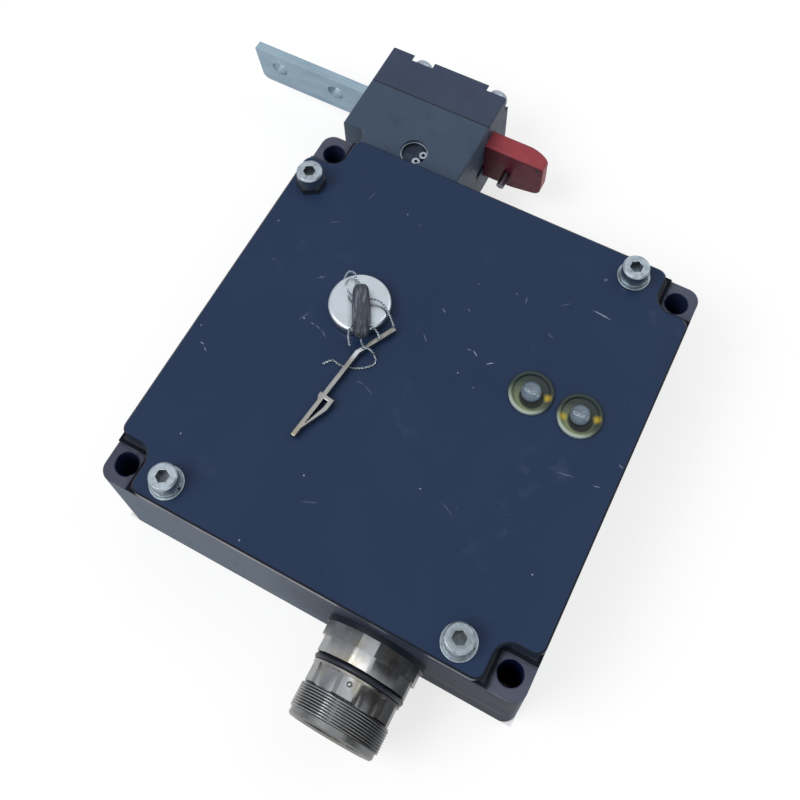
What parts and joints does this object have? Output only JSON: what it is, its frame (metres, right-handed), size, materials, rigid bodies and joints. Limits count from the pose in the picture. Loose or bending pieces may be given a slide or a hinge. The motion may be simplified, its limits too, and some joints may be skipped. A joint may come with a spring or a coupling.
{
  "type": "tongue interlock switch",
  "caption": "Tongue interlock switch: square screwed case, actuator head with a sliding tongue, round connector, sealed release and two lamp windows.",
  "frame": {"origin": "centre of the four fixing holes on the flat back of the case", "axes": "+Z out through the cover, +Y towards the actuator head, +X the way the tongue's nose points"},
  "size_m": [0.154, 0.1746, 0.0463],
  "materials": {
    "case_paint": "satin",
    "cover_paint": "satin",
    "head_paint": "satin",
    "seal_rubber": "matte",
    "bright_steel": "satin",
    "zinc_steel": "satin",
    "nickel": "polished",
    "red_paint": "satin",
    "lead": "matte",
    "lamp_resin": "gloss",
    "black_plastic": "matte",
    "bright_brass": "polished"
  },
  "bodies": {
    "case": {"base_housing": "case_paint", "cover_gasket": "seal_rubber", "cover_plate": "cover_paint", "cover_screws": "bright_steel", "cover_washers": "bright_steel", "cover_spring_washers": "bright_steel", "screw_collar": "black_plastic", "window_left": "lamp_resin", "window_right": "lamp_resin", "led_left": "lamp_resin", "led_right": "lamp_resin", "led_board": "black_plastic", "head_body": "head_paint", "head_cap": "head_paint", "head_screws": "bright_steel", "retaining_ring": "bright_steel", "pivot_shaft": "bright_steel", "plunger_bushing": "bright_brass", "solenoid_coil": "black_plastic", "solenoid_frame": "bright_steel", "switch_block_left": "black_plastic", "switch_block_right": "black_plastic", "connector_gasket": "seal_rubber", "connector_flange": "nickel", "connector_shell": "nickel", "connector_nut": "nickel", "connector_o_ring": "seal_rubber", "connector_insert": "black_plastic", "connector_pins": "bright_brass"},
    "tongue": {"tongue_bar": "zinc_steel", "tongue_nose": "red_paint", "cross_pin": "bright_steel", "nose_rivet": "bright_steel"},
    "release": {"release_knob": "nickel", "release_cam": "bright_steel", "lead_seal": "lead", "seal_wire": "bright_steel", "release_key": "nickel"},
    "rocker": {"rocker_lever": "bright_steel"},
    "plunger": {"locking_plunger": "bright_steel", "plunger_yoke": "black_plastic", "tappet_left": "bright_brass", "tappet_right": "bright_brass"}
  },
  "joints": [
    {"name": "tongue_slide", "type": "slide", "parent": "case", "child": "tongue", "axis": [1, 0, 0], "range_m": [-0.06, 0]},
    {"name": "release_turn", "type": "hinge", "parent": "case", "child": "release", "pos_m": [-0.0201, 0.0104, 0.039], "axis": [0, 0, 1], "range_deg": [-90, 0]},
    {"name": "rocker_turn", "type": "hinge", "parent": "case", "child": "rocker", "pos_m": [-0.03265, 0.0639, 0.0155], "axis": [0, 0, 1], "range_deg": [-30, 0]},
    {"name": "plunger_slide", "type": "slide", "parent": "case", "child": "plunger", "axis": [0, 1, 0], "range_m": [-0.004, 0]}
  ]
}
